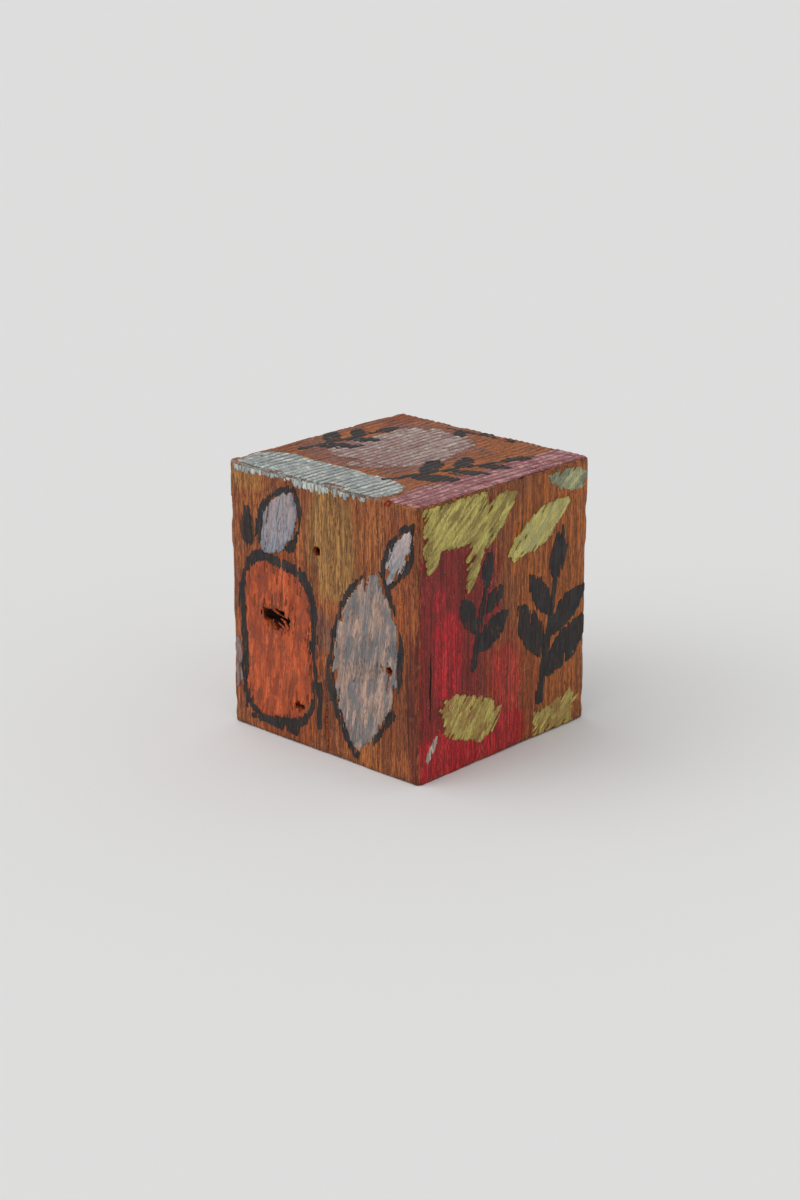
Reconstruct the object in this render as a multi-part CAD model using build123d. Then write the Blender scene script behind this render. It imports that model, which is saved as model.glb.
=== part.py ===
from build123d import *
import os
from math import cos, pi, radians, sin, tan

# A hand-painted wooden block, sawn from a square post and painted with a brush.
# One piece of softwood, with its grain along Z, carries raised coats of body paint.
# The frame's origin is the centre of the underside, +Z is up the grain, the front is -Y.

# ---------------------------------------------------------------- driving dimensions, mm
block_width = 89.0  # X, the post's planed section
block_depth = 87.0  # Y, the post's planed section
block_height = 96.0  # Z, the length that was sawn off

long_edge_radius = 2.0  # the four eased edges along the grain
sawn_edge_break = 0.5  # the worn corner round both sawn ends

nail_hole_radius = 1.7  # the upper nail hole in the front
nail_hole_depth = 18.0
nail_hole_at = (42.6, 72.2)  # from the front's lower left corner
pin_hole_radius = 1.3  # the lower, smaller nail hole in the front
pin_hole_depth = 12.0
pin_hole_at = (75.8, 37.9)

knot_at = (22.6, 43.8)  # the rotted knot in the front
knot_length = 12.6
knot_height = 8.0
knot_tilt = 8.0  # degrees, its right end lower
knot_depth = 8.5
pocket_draft = 14.0  # degrees that a pocket's walls lean in

gouge_at = (33.6, 14.0)  # a small torn pocket under the knot
gouge_length = 5.2
gouge_height = 3.4
gouge_depth = 2.4

front_check_at = 46.7  # a drying crack that runs out through the underside
front_check_mouth = 0.9
front_check_height = 28.0
front_check_depth = 6.0

side_check_at = (5.6, 33.0)  # a closed drying crack beside the right face's front edge
side_check_width = 0.7
side_check_height = 26.0
side_check_depth = 3.0

chip_at = 75.2  # a chip out of the front's top edge
chip_width = 3.4
chip_height = 2.8
chip_depth = 1.6

nick_radius = 7.0  # the bruises worn into the front's left edge
nick_bite = 1.1
nick_heights = (81.5, 52.0)

thick_coat = 0.45  # brushed on heavily, the strokes stand up
body_coat = 0.30
thin_coat = 0.18
hole_clearance = 0.25  # bare wood left round a hole that a coat of paint goes round

# The paint is laid out on faces of this size, and is stretched with the block.
canvas_across = 89.0
canvas_deep = 87.0
canvas_up = 96.0

patch_squareness = 4.0  # 2 is an oval, more is boxier
brush_wobble = 0.03  # how far a brushed edge wanders, as a share of the shape
outline_points = 18

# Each raised coat: face, thickness, and the dabs that ran together into it. A dab has a
# shape, a centre, a length and width, and a turn in degrees. Places are from the face's lower
# left corner, seen from outside. The top's lower edge is the front. A coat that passes a
# face's flat is trimmed to it.
coats = {
    "front_grey_leaf_paint": ("front", thick_coat, [("leaf", (24.5, 78.0), (28.0, 15.0), 58)]),
    "front_orange_patch_paint": ("front", thin_coat, [("patch", (23.4, 35.0), (32.0, 56.0), 0)]),
    "front_pink_leaf_paint": ("front", body_coat, [("leaf", (64.8, 38.0), (67.0, 29.5), 82)]),
    "front_pale_leaf_paint": ("front", thick_coat, [("leaf", (80.0, 78.0), (24.0, 8.4), 62)]),
    "front_edge_grey_paint": ("front", body_coat, [("patch", (0.0, 23.0), (10.0, 20.0), 0)]),
    "right_yellow_dabs_paint": ("right", thick_coat, [
        ("patch", (13.0, 90.0), (42.0, 22.0), 0),
        ("leaf", (37.0, 87.0), (26.0, 10.0), 24),
        ("leaf", (34.0, 81.0), (30.0, 9.0), 38),
        ("leaf", (27.5, 74.0), (26.0, 7.6), 72),
        ("leaf", (7.0, 79.0), (13.0, 7.0), 68),
    ]),
    "right_yellow_leaf_paint": ("right", thick_coat, [
        ("leaf", (60.0, 76.5), (36.0, 12.5), 22),
        ("leaf", (53.0, 74.5), (20.0, 7.0), 44),
    ]),
    "right_pale_green_paint": ("right", body_coat, [
        ("leaf", (78.0, 90.0), (30.0, 7.6), -12),
    ]),
    "right_lower_yellow_paint": ("right", body_coat, [
        ("patch", (25.4, 17.4), (26.0, 15.0), -18),
        ("leaf", (19.0, 22.4), (20.0, 9.0), -12),
        ("leaf", (34.0, 13.0), (18.0, 9.0), 30),
    ]),
    "right_corner_yellow_paint": ("right", thin_coat, [
        ("patch", (69.0, 3.0), (22.0, 14.0), 0),
        ("leaf", (74.0, 8.0), (20.0, 8.0), 16),
    ]),
    "right_white_dab_paint": ("right", body_coat, [("leaf", (6.4, 11.4), (10.0, 3.4), 62)]),
    "top_blue_band_paint": ("top", body_coat, [
        ("patch", (36.0, 6.0), (68.0, 27.0), 0),
    ]),
    "top_lilac_field_paint": ("top", thin_coat, [
        ("patch", (34.0, 53.0), (38.0, 48.0), 0),
        ("leaf", (44.0, 40.0), (40.0, 18.0), 62),
    ]),
    "top_crimson_band_paint": ("top", thin_coat, [
        ("patch", (89.0, 43.5), (32.0, 112.0), 0),
    ]),
    "back_pale_green_paint": ("back", body_coat, [("patch", (0.0, 85.0), (26.0, 13.0), 0)]),
    "back_ochre_leaf_paint": ("back", thick_coat, [("leaf", (46.0, 64.0), (42.0, 17.0), 62)]),
    "back_blue_band_paint": ("back", body_coat, [("patch", (44.5, 18.0), (112.0, 22.0), 0)]),
    "left_pink_patch_paint": ("left", body_coat, [("patch", (81.0, 22.0), (28.0, 21.0), 0)]),
    "left_blue_leaf_paint": ("left", thick_coat, [("leaf", (24.0, 70.0), (35.0, 12.5), 60)]),
    "left_yellow_leaf_paint": ("left", thick_coat, [("leaf", (56.0, 60.0), (32.0, 11.5), 60)]),
}


# ---------------------------------------------------------------- faces
def face_plane(face):
    """The plane of a face, out of the wood, with its origin at the face's lower left corner."""
    half_width, half_depth = block_width / 2, block_depth / 2
    corner, right, outward = {
        "front": ((-half_width, -half_depth, 0), (1, 0, 0), (0, -1, 0)),
        "right": ((half_width, -half_depth, 0), (0, 1, 0), (1, 0, 0)),
        "back": ((half_width, half_depth, 0), (-1, 0, 0), (0, 1, 0)),
        "left": ((-half_width, half_depth, 0), (0, -1, 0), (-1, 0, 0)),
        "top": ((-half_width, -half_depth, block_height), (1, 0, 0), (0, 0, 1)),
    }[face]
    return Plane(origin=corner, x_dir=right, z_dir=outward)


def face_size(face):
    """A face's width and height."""
    across = block_width if face in ("front", "back", "top") else block_depth
    return across, block_depth if face == "top" else block_height


def canvas_size(face):
    """The width and height that a face's drawing is laid out on."""
    across = canvas_across if face in ("front", "back", "top") else canvas_deep
    return across, canvas_deep if face == "top" else canvas_up


def on_face(face, point):
    """A place on the canvas, as a place on the face."""
    (width, height), (across, up) = face_size(face), canvas_size(face)
    return point[0] * width / across, point[1] * height / up


def flat_area(face):
    """The flat of a face, inside its rounded edges, in the face's own coordinates."""
    width, height = face_size(face)
    if face == "top":
        flat = RectangleRounded(
            width - 2 * sawn_edge_break,
            height - 2 * sawn_edge_break,
            long_edge_radius - sawn_edge_break,
        )
    else:
        flat = Rectangle(width - 2 * long_edge_radius, height - 2 * sawn_edge_break)
    return Pos(width / 2, height / 2) * flat


# ---------------------------------------------------------------- cutters
def round_hole(at, radius, depth):
    """A straight round hole driven into the front."""
    u, v = on_face("front", at)
    return extrude(face_plane("front") * Pos(u, v) * Circle(radius), -depth)


def knot_mouth(margin=0.0):
    """The knot's outline on the front, grown by a margin."""
    u, v = on_face("front", knot_at)
    oval = Ellipse(knot_length / 2 + margin, knot_height / 2 + margin)
    return Pos(u, v) * Rot(0, 0, -knot_tilt) * oval


def gouge_mouth(margin=0.0):
    """The torn pocket's outline on the front, grown by a margin."""
    u, v = on_face("front", gouge_at)
    return Pos(u, v) * Ellipse(gouge_length / 2 + margin, gouge_height / 2 + margin)


def pocket(mouth, depth):
    """A pocket in the front whose walls lean in from an oval mouth to a smaller oval floor."""
    plane = face_plane("front")
    shrink = -depth * tan(radians(pocket_draft))
    return loft([plane * mouth(), plane * Pos(0, 0, -depth) * mouth(shrink)])


def front_check():
    """A crack that is widest where it runs out through the underside."""
    u, _ = on_face("front", (front_check_at, 0))
    half = front_check_mouth / 2
    wedge = Polygon((u - half, 0), (u + half, 0), (u, front_check_height), align=None)
    return extrude(face_plane("front") * wedge, -front_check_depth)


def side_check():
    """A crack with both ends closed, widest in the middle."""
    u, v = on_face("right", side_check_at)
    half, reach = side_check_width / 2, side_check_height / 2
    lens = Polygon((u - half, v), (u, v - reach), (u + half, v), (u, v + reach), align=None)
    return extrude(face_plane("right") * lens, -side_check_depth)


def edge_chip():
    """A chip out of the front's top edge, deepest at the edge."""
    u, _ = on_face("front", (chip_at, 0))
    x, y = u - block_width / 2, -block_depth / 2
    section = Plane(origin=(x, y, block_height), x_dir=(0, 1, 0), z_dir=(1, 0, 0))
    wedge = Polygon((0, 0), (chip_depth, 0), (0, -chip_height), align=None)
    return extrude(section * wedge, chip_width / 2, both=True)


def edge_nicks():
    """Shallow bruises across the front's left edge, cut square to that edge's own diagonal."""
    inset = long_edge_radius * (1 - 0.5**0.5)
    out = nick_radius - nick_bite - inset * 2**0.5
    x = -block_width / 2 - out * 0.5**0.5
    y = -block_depth / 2 - out * 0.5**0.5
    cutters = []
    for height in nick_heights:
        _, z = on_face("front", (0, height))
        across = Plane(origin=(x, y, z), x_dir=(0, 0, 1), z_dir=(1, -1, 0))
        cutters.append(extrude(across * Circle(nick_radius), 3 * long_edge_radius, both=True))
    return cutters


# ---------------------------------------------------------------- pieces
def wood_block():
    """The sawn block with its worn edges, holes, pockets and cracks."""
    on_floor = (Align.CENTER, Align.CENTER, Align.MIN)
    block = Box(block_width, block_depth, block_height, align=on_floor)
    block = fillet(block.edges().filter_by(Axis.Z), long_edge_radius)
    rims = block.faces().filter_by(Axis.Z).edges()
    block = chamfer(rims, sawn_edge_break)
    block -= round_hole(nail_hole_at, nail_hole_radius, nail_hole_depth)
    block -= round_hole(pin_hole_at, pin_hole_radius, pin_hole_depth)
    block -= pocket(knot_mouth, knot_depth)
    block -= pocket(gouge_mouth, gouge_depth)
    block -= front_check()
    block -= side_check()
    block -= edge_chip()
    for nick in edge_nicks():
        block -= nick
    return block


def holes_in_coats():
    """What a coat on the front or the top must leave open."""
    plane = face_plane("front")
    reach = thick_coat * 2
    rings = [
        (nail_hole_at, nail_hole_radius + hole_clearance),
        (pin_hole_at, pin_hole_radius + hole_clearance),
    ]
    open_spots = [plane * Pos(*on_face("front", at)) * Circle(radius) for at, radius in rings]
    open_spots += [plane * knot_mouth(hole_clearance), plane * gouge_mouth(hole_clearance)]
    cutters = [extrude(spot, reach, both=True) for spot in open_spots]
    u, _ = on_face("front", (chip_at, 0))
    chip_room = Box(
        chip_width + 2 * hole_clearance, 2 * (chip_depth + hole_clearance), 2 * reach
    )
    cutters.append(Pos(u - block_width / 2, -block_depth / 2, block_height) * chip_room)
    return cutters


def brushed_outline(size, phase):
    """Points round a boxy patch whose edge wanders a little."""
    length, width = size
    points = []
    for step in range(outline_points):
        angle = 2 * pi * step / outline_points
        across, up = cos(angle), sin(angle)
        boxy = abs(across) ** patch_squareness + abs(up) ** patch_squareness
        reach = boxy ** (-1 / patch_squareness)
        reach *= 1 + brush_wobble * sin(3 * angle + phase)
        points.append((length / 2 * reach * across, width / 2 * reach * up))
    return points


def turned_onto_face(face, point, centre, turn):
    """A point of a shape, turned about its centre and placed on the face."""
    u, v = point
    across, up = cos(radians(turn)), sin(radians(turn))
    return on_face(face, (centre[0] + u * across - v * up, centre[1] + u * up + v * across))


def dab_outline(face, shape, centre, size, turn):
    """The flat outline of one dab: a leaf of two arcs, or a wandering patch."""

    def place(point):
        return turned_onto_face(face, point, centre, turn)

    if shape == "leaf":
        length, width = size
        tips = place((-length / 2, 0)), place((length / 2, 0))
        sides = place((0, width / 2)), place((0, -width / 2))
        return make_face([ThreePointArc(tips[0], side, tips[1]) for side in sides])
    points = brushed_outline(size, radians(centre[0] + 2 * centre[1]))
    return make_face(Spline(*(place(point) for point in points), periodic=True))


def paint_coat(face, thickness, dabs, cutters):
    """One raised coat of paint on a face, kept to the face's flat."""
    patch = Sketch() + [dab_outline(face, *dab) for dab in dabs]
    coat = extrude(face_plane(face) * (patch & flat_area(face)), thickness)
    if face in ("front", "top"):
        for cutter in cutters:
            coat -= cutter
    return coat


def main():
    os.makedirs("parts", exist_ok=True)
    export_step(wood_block(), "parts/wood_block.step")
    cutters = holes_in_coats()
    for name, coat in coats.items():
        export_step(paint_coat(*coat, cutters), f"parts/{name}.step")


main()
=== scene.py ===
from math import atan2, cos, radians, sin, tau

import bmesh
import bpy
import numpy as np
from mathutils import Matrix, Vector


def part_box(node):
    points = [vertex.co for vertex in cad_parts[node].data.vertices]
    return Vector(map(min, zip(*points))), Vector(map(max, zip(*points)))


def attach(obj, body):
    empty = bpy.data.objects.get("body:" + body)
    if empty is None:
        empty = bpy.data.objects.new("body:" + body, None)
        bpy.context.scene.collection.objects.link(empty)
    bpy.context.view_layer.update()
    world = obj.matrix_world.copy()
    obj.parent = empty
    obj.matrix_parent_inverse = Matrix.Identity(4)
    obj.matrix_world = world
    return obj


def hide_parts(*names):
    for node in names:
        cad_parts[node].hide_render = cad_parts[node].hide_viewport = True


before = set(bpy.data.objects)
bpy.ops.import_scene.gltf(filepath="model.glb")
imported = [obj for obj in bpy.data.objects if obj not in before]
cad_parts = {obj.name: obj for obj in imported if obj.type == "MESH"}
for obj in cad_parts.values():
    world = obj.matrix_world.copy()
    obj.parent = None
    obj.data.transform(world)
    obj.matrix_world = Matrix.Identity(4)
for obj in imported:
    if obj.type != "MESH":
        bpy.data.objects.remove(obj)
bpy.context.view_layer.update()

# The looks of a hand-painted wooden block. Lengths are in millimetres until a mesh is made.
MM = 0.001
low, high = (np.array(corner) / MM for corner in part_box("wood_block"))
width, depth, height = high - low


def points_of(node):
    """A CAD node's points, in millimetres."""
    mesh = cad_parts[node].data
    points = np.empty(len(mesh.vertices) * 3)
    mesh.vertices.foreach_get("co", points)
    return points.reshape(-1, 3) / MM


wood_points = points_of("wood_block")
on_front = wood_points[np.abs(wood_points[:, 1] - low[1]) < 0.001]
corner_radius = high[0] - on_front[:, 0].max()  # the worn edges along the grain
rim = on_front[:, 2].min() - low[2]  # the worn corner round both sawn ends
ring_pitch = 2.78  # end-grain ridges across the sawn ends
ridge_relief = 0.24
grain_relief = 0.13
wear_relief = 0.55  # how deep the edges are bruised
columns = 150  # of the block's mesh, across each face
rows = 76  # up each side
film_step = 0.4  # mesh size of a coat of paint
fine_step = 0.32  # and of a black line or a lip of paint
ink_thickness = 0.07
lip_thickness = 0.2
bruise_across = 4.2  # of the bruises in the front's left edge
bruise_depth = 1.4
mouth_rise = 6.0  # how far a cutter's mouth stands out of the wood, for each share of its depth


# -------------------- noise and relief
def noise(a, b, seed=0.0):
    """Smooth noise from 0 to 1 whose lumps are one unit across."""
    cell_a, cell_b = np.floor(a), np.floor(b)
    part_a, part_b = a - cell_a, b - cell_b
    part_a = part_a * part_a * (3 - 2 * part_a)
    part_b = part_b * part_b * (3 - 2 * part_b)

    def corner(i, j):
        value = np.sin((cell_a + i) * 127.1 + (cell_b + j) * 311.7 + seed * 74.7) * 43758.5453
        return value - np.floor(value)

    near = corner(0, 0) * (1 - part_a) + corner(1, 0) * part_a
    far = corner(0, 1) * (1 - part_a) + corner(1, 1) * part_a
    return near * (1 - part_b) + far * part_b


def smooth(value, start, end):
    """0 below start, 1 above end, and a smooth step between them."""
    t = np.clip((value - start) / (end - start), 0, 1)
    return t * t * (3 - 2 * t)


def side_relief(x, y, z):
    """How far a side stands proud: ridges of hard grain that run up the block."""
    across = x + 1.37 * y
    ridges = noise(across / 2.3, z / 60, 1) * 0.6 + noise(across / 1.1, z / 22, 2) * 0.4
    hollows = noise(across / 19, z / 30, 3) - 0.5
    return grain_relief * (2 * ridges - 1) + 0.2 * hollows


# The end grain's ridges wander from straight lines by a sum of waves: height in mm, then how
# fast each turns with x and y, in radians per mm, and where it starts.
ridge_waves = ((0.40, 1 / 17, 1 / 11, 0.0), (0.22, -1 / 9, 1 / 4.7, 1.3), (0.35, 1 / 6, 1 / 31, 2.1))


def end_relief(x, y):
    """How far a sawn end stands proud: worn ridges of hard end grain."""
    wander = 0.0
    for tall, along_x, along_y, start in ridge_waves:
        wander = wander + tall * np.sin(x * along_x + y * along_y + start)
    ridge = 0.5 + 0.5 * np.cos(tau * (x + wander) / ring_pitch)
    worn = 0.4 + 1.1 * noise(x / 6, y / 20, 7)
    saw_mark = noise(x / 40, y / 1.3, 6) - 0.5
    return ridge_relief * worn * (ridge**0.7 - 0.6) + 0.07 * saw_mark


def edge_wear(across, along, seed):
    """How deep a long edge or rim is bruised, near it."""
    bruise = smooth(noise(along / 7, across / 9, seed), 0.45, 0.95)
    nibble = smooth(noise(along / 1.6, across / 3, seed + 1), 0.6, 1.0)
    return wear_relief * (0.75 * bruise + 0.35 * nibble)


# -------------------- faces
class Face:
    """One side or end of the block, with u to the right and v up, seen from outside."""

    def __init__(self, name, corner, right, outward):
        self.name = name
        self.corner = np.array(corner, float)
        self.right = np.array(right, float)
        self.outward = np.array(outward, float)
        self.up = np.cross(self.outward, self.right)
        self.is_end = name in ("top", "bottom")
        self.size = (width if self.right[0] else depth, depth if self.is_end else height)

    def split(self, points):
        """The u, v and height above the face of some points."""
        local = points - self.corner
        return local @ self.right, local @ self.up, local @ self.outward

    def place(self, u, v, rise):
        """Points from u, v and height above the face."""
        u, v, rise = (np.asarray(a, float)[..., None] for a in np.broadcast_arrays(u, v, rise))
        return self.corner + u * self.right + v * self.up + rise * self.outward

    def relief(self, u, v):
        x, y, z = np.moveaxis(self.place(u, v, 0), -1, 0)
        return end_relief(x, y) if self.is_end else side_relief(x, y, z)


faces = {
    "front": Face("front", (low[0], low[1], low[2]), (1, 0, 0), (0, -1, 0)),
    "right": Face("right", (high[0], low[1], low[2]), (0, 1, 0), (1, 0, 0)),
    "back": Face("back", (high[0], high[1], low[2]), (-1, 0, 0), (0, 1, 0)),
    "left": Face("left", (low[0], high[1], low[2]), (0, -1, 0), (-1, 0, 0)),
    "top": Face("top", (low[0], low[1], high[2]), (1, 0, 0), (0, 0, 1)),
    "bottom": Face("bottom", (low[0], high[1], low[2]), (1, 0, 0), (0, 0, -1)),
}


def placed(name, data):
    """A new object in the scene."""
    made = bpy.data.objects.new(name, data)
    bpy.context.scene.collection.objects.link(made)
    return made


def new_object(name, verts, polygons, materials, material_ids=None):
    """A mesh object from millimetres, in metres, smooth-shaded."""
    mesh = bpy.data.meshes.new(name)
    mesh.from_pydata((np.asarray(verts) * MM).tolist(), [], [list(p) for p in polygons])
    for material in materials:
        mesh.materials.append(material)
    if material_ids is not None:
        mesh.polygons.foreach_set("material_index", material_ids)
    mesh.polygons.foreach_set("use_smooth", [True] * len(mesh.polygons))
    mesh.update()
    return placed(name, mesh)


# -------------------- the block's mesh
def rounded_square(s, t, across, deep, radius):
    """Places on a rounded square for s and t from -1 to 1, whose rim follows its outline."""
    x, y = s * across / 2, t * deep / 2
    inner_x, inner_y = across / 2 - radius, deep / 2 - radius
    a = np.clip((np.abs(x) - inner_x) / radius, 0, 1)
    b = np.clip((np.abs(y) - inner_y) / radius, 0, 1)
    corner = (a > 0) & (b > 0)
    x = np.where(corner, np.sign(x) * (inner_x + radius * a * np.sqrt(1 - b * b / 2)), x)
    y = np.where(corner, np.sign(y) * (inner_y + radius * b * np.sqrt(1 - a * a / 2)), y)
    return x, y


def rim_loop():
    """Grid indices of the rim, once round, from the front left corner."""
    n = columns
    front = [(i, 0) for i in range(n)]
    right = [(n, j) for j in range(n)]
    back = [(n - i, n) for i in range(n)]
    left = [(0, n - j) for j in range(n)]
    return front + right + back + left


def end_grid(z, sign):
    """One sawn end as a grid of points."""
    line = np.linspace(-1, 1, columns + 1)
    s, t = np.meshgrid(line, line, indexing="ij")
    x, y = rounded_square(s, t, width - 2 * rim, depth - 2 * rim, corner_radius - rim)
    gap = np.minimum(width / 2 - np.abs(x), depth / 2 - np.abs(y))
    fade = 1 - smooth(gap, 0.4, 2.4)
    wear = fade * edge_wear(gap, x + 1.7 * y, 30 + sign)
    rise = end_relief(x, y) * (1.0 if sign > 0 else 0.3) - wear
    if sign < 0:
        rise = np.minimum(rise, 0)
    return np.stack([x, y, z + sign * rise], -1)


def side_rings():
    """The four sides as rings of points, from the bottom up."""
    line = np.linspace(-1, 1, columns + 1)
    loop = np.array(rim_loop())
    s, t = line[loop[:, 0]], line[loop[:, 1]]
    x, y = rounded_square(s, t, width, depth, corner_radius)
    inner_x = np.clip(x, -width / 2 + corner_radius, width / 2 - corner_radius)
    inner_y = np.clip(y, -depth / 2 + corner_radius, depth / 2 - corner_radius)
    out = np.stack([x - inner_x, y - inner_y], -1)
    out /= np.linalg.norm(out, axis=-1, keepdims=True)
    z = np.linspace(rim, height - rim, rows + 1)[:, None]
    from_corner = np.hypot(width / 2 - np.abs(x), depth / 2 - np.abs(y))
    long_edge = (1 - smooth(from_corner, 0.5, 5.0)) * edge_wear(x - y, z, 40)
    from_end = np.minimum(z, height - z)
    end_edge = (1 - smooth(from_end, 0.5, 2.6)) * edge_wear(from_end, x + 1.7 * y, 50)
    rise = side_relief(x, y, z) - long_edge - 0.5 * end_edge
    rings = np.empty((rows + 1, len(loop), 3))
    rings[..., 0] = x + out[:, 0] * rise
    rings[..., 1] = y + out[:, 1] * rise
    rings[..., 2] = np.broadcast_to(z, rise.shape)
    return rings, out


def build_block(materials):
    """The whole block as one closed mesh, with a material for each of its six faces."""
    n, loop = columns, rim_loop()
    count = (n + 1) ** 2
    top, bottom = end_grid(height, 1), end_grid(0.0, -1)
    rings, out = side_rings()
    verts = np.concatenate([top.reshape(-1, 3), bottom.reshape(-1, 3), rings.reshape(-1, 3)])
    order = list(faces)
    polygons, ids = [], []
    for i in range(n):
        for j in range(n):
            a = i * (n + 1) + j
            quad = [a, a + n + 1, a + n + 2, a + 1]
            polygons += [quad, [count + k for k in reversed(quad)]]
            ids += [order.index("top"), order.index("bottom")]
    around = len(loop)
    start = 2 * count
    for k in range(around):
        after = (k + 1) % around
        middle = out[k] + out[after]
        side = max(order[:4], key=lambda name: faces[name].outward[:2] @ middle)
        side_id = order.index(side)
        for r in range(rows):
            a, b = start + r * around + k, start + r * around + after
            polygons.append([a, b, b + around, a + around])
            ids.append(side_id)
        rim_a, rim_b = (loop[q][0] * (n + 1) + loop[q][1] for q in (k, after))
        last = start + rows * around
        polygons.append([last + k, last + after, rim_b, rim_a])
        polygons.append([count + rim_a, count + rim_b, start + after, start + k])
        ids += [side_id, side_id]
    return new_object("painted_wood", verts, polygons, materials, ids)


# -------------------- cuts in the wood
def stacked_rings(name, rings):
    """A closed mesh through rings that all have the same number of points."""
    count, around = len(rings), len(rings[0])
    polygons = []
    for r in range(count - 1):
        for k in range(around):
            a, b = r * around + k, r * around + (k + 1) % around
            polygons.append([a, b, b + around, a + around])
    polygons.append(list(range(around))[::-1])
    polygons.append([(count - 1) * around + k for k in range(around)])
    made = new_object(name, np.concatenate(rings), polygons, [])
    tidy = bmesh.new()
    tidy.from_mesh(made.data)
    bmesh.ops.recalc_face_normals(tidy, faces=tidy.faces)
    tidy.to_mesh(made.data)
    tidy.free()
    return made


def torn_hole(name, face, at, size, depth_in, floor_share, turn, tear, seed):
    """A cutter for a hole or pocket with an uneven wall."""
    angles = np.linspace(0, tau, 48, endpoint=False)
    rings = []
    for share in (-0.16, 0.0, 0.12, 0.35, 0.65, 0.9, 1.0):
        narrow = 1 - (1 - floor_share) * max(share, 0.0) ** 1.3
        around_u, around_v = 3 + 1.6 * np.cos(angles) + seed, 3 + 1.6 * np.sin(angles)
        rough = 1 + tear * (2 * noise(around_u, around_v + 2 * share, seed) - 1)
        rough *= 1 + 0.5 * tear * (2 * noise(3 * around_u, 3 * around_v + 4 * share, seed + 1) - 1)
        a = size[0] / 2 * narrow * rough * np.cos(angles)
        b = size[1] / 2 * narrow * rough * np.sin(angles)
        u = at[0] + a * cos(turn) - b * sin(turn)
        v = at[1] + a * sin(turn) + b * cos(turn)
        rings.append(face.place(u, v, -share * (depth_in if share > 0 else mouth_rise)))
    return stacked_rings(name, rings)


def crack(name, face, start, end, mouth, depth_in, seed):
    """A cutter for a thin, wandering crack: open at a start past the face's edge, or a lens."""
    shares = np.linspace(0, 1, 26)
    u = start[0] + (end[0] - start[0]) * shares + 0.55 * (noise(shares * 7, shares * 0, seed) - 0.5)
    v = start[1] + (end[1] - start[1]) * shares
    runs_out = not 0 < start[1] < height
    taper = 1 - shares**2 if runs_out else 1 - (2 * shares - 1) ** 2
    half = mouth / 2 * np.sqrt(np.clip(taper, 0.02, 1))
    half *= 0.6 + 0.8 * noise(shares * 9, shares * 0 + 3, seed)
    rings = []
    for k in range(len(shares)):
        us = u[k] + half[k] * np.array([-1, 1, 0.15, -0.15])
        deep = -depth_in * max(taper[k], 0.2)
        rings.append(face.place(us, np.full(4, v[k]), np.array([0.7, 0.7, deep, deep])))
    return stacked_rings(name, rings)


def hollows(face):
    """The points of each hole, pocket or crack whose mouth is in a side, as u, v and rise."""
    u, v, rise = face.split(wood_points)
    groups = []
    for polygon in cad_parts["wood_block"].data.polygons:
        ids = list(polygon.vertices)
        inside = corner_radius < u[ids].min() and u[ids].max() < face.size[0] - corner_radius
        between_ends = v[ids].min() < height - rim and v[ids].max() > rim
        if not inside or not between_ends or not -25 < rise[ids].min() < -0.05:
            continue
        keys = {(round(float(u[k]), 2), round(float(v[k]), 2), round(float(rise[k]), 2)) for k in ids}
        for group in [group for group in groups if group & keys]:
            groups.remove(group)
            keys |= group
        groups.append(keys)
    found = [np.array(sorted(group)) for group in groups]
    return sorted((g for g in found if g[:, 2].max() > -0.01), key=lambda g: tuple(g[0]))


def hollow_cutter(name, face, points, seed):
    """The cutter for one of the wood's hollows, with the roughness that CAD leaves out."""
    low_u, low_v, deep = points.min(axis=0)
    high_u, high_v, _ = points.max(axis=0)
    size = (high_u - low_u, high_v - low_v)
    middle_u = (low_u + high_u) / 2
    if size[1] > 5 * size[0]:
        start = low_v - 1 if low_v < rim else low_v
        return crack(name, face, (middle_u, start), (middle_u, high_v), size[0], -deep, seed)
    if high_v > height - rim:
        at, size = (middle_u, height + 0.6), (size[0], 2 * size[1])
        return torn_hole(name, face, at, size, -deep, 0.6, 0, 0.25, seed)
    at = (middle_u, (low_v + high_v) / 2)
    if -deep > 3 * size[0]:
        return torn_hole(name, face, at, size, -deep, 0.9, 0, 0.14, seed)
    spread = np.cov(points[:, 0], points[:, 1])
    turn = atan2(2 * spread[0, 1], spread[0, 0] - spread[1, 1]) / 2
    return torn_hole(name, face, at, size, -deep, 0.5, turn, 0.34, seed)


def edge_bruises():
    """The middle and length of each bruise in the front's left edge, as heights."""
    near = (wood_points[:, 0] < low[0] + corner_radius) & (wood_points[:, 1] < low[1] + corner_radius)
    heights = np.sort(wood_points[near, 2])
    heights = heights[(heights > 4 * rim) & (heights < height - 4 * rim)]
    parts = np.split(heights, np.nonzero(np.diff(heights) > 8)[0] + 1)
    return [((part.min() + part.max()) / 2, part.max() - part.min()) for part in parts]


# Hairline cracks too fine for the CAD: face, start, end, mouth and depth.
hairlines = [
    ("front", (28.4, 97), (28.9, 88), 0.5, 3.0), ("front", (70.6, -1), (70.2, 13), 0.45, 2.5),
    ("right", (12.8, 17), (12.5, 29), 0.45, 2.0), ("right", (9.6, 76), (9.9, 86), 0.4, 1.5),
    ("back", (61, -1), (60.2, 34), 0.7, 4.0), ("left", (38, 97), (38.6, 72), 0.6, 3.5),
]


def wood_cutters():
    """Every hole, pocket, crack and bruise in the wood."""
    cutters = []
    for name in ("front", "right", "back", "left"):
        for k, points in enumerate(hollows(faces[name])):
            cutters.append(hollow_cutter(f"{name}_hollow_{k}", faces[name], points, 3 + 4 * k))
    for k, (name, start, end, mouth, deep) in enumerate(hairlines):
        cutters.append(crack(f"hairline_{k}", faces[name], start, end, mouth, deep, 15 + 2 * k))
    for k, (middle, length) in enumerate(edge_bruises()):
        at, size = (0, middle), (bruise_across, 0.9 * length)
        bruise = torn_hole(f"bruise_{k}", faces["front"], at, size, bruise_depth, 0.5, 0, 0.3, 25 + k)
        cutters.append(bruise)
    return cutters


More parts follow.
